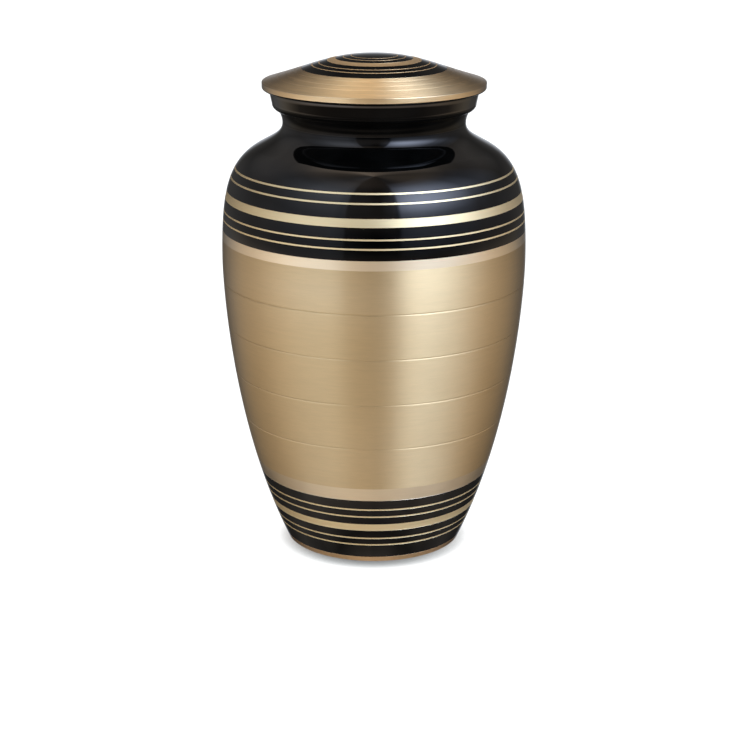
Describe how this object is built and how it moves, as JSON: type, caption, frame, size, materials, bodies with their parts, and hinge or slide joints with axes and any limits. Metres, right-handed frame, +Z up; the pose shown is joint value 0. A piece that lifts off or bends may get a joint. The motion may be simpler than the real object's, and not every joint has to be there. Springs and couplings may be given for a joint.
{
  "type": "urn",
  "caption": "Hollow turned brass urn with a satin belly, gloss black shoulder and foot with bright-cut rings, and a lift-off crowned lid.",
  "frame": {"origin": "centre of the foot's underside, on the surface that the urn stands on", "axes": "+Z up along the axis of the turned vessel; it is round, so +X and +Y are any two directions square to it"},
  "size_m": [0.1596, 0.1596, 0.26],
  "materials": {
    "vessel": "satin turned brass belly between gloss black lacquered shoulder, neck and foot, with bright-cut rings",
    "lid": "brushed brass flare round a gloss black lacquered crown with bright-cut rings"
  },
  "bodies": {
    "root": {"vessel": "vessel", "lid": "lid"}
  },
  "joints": []
}
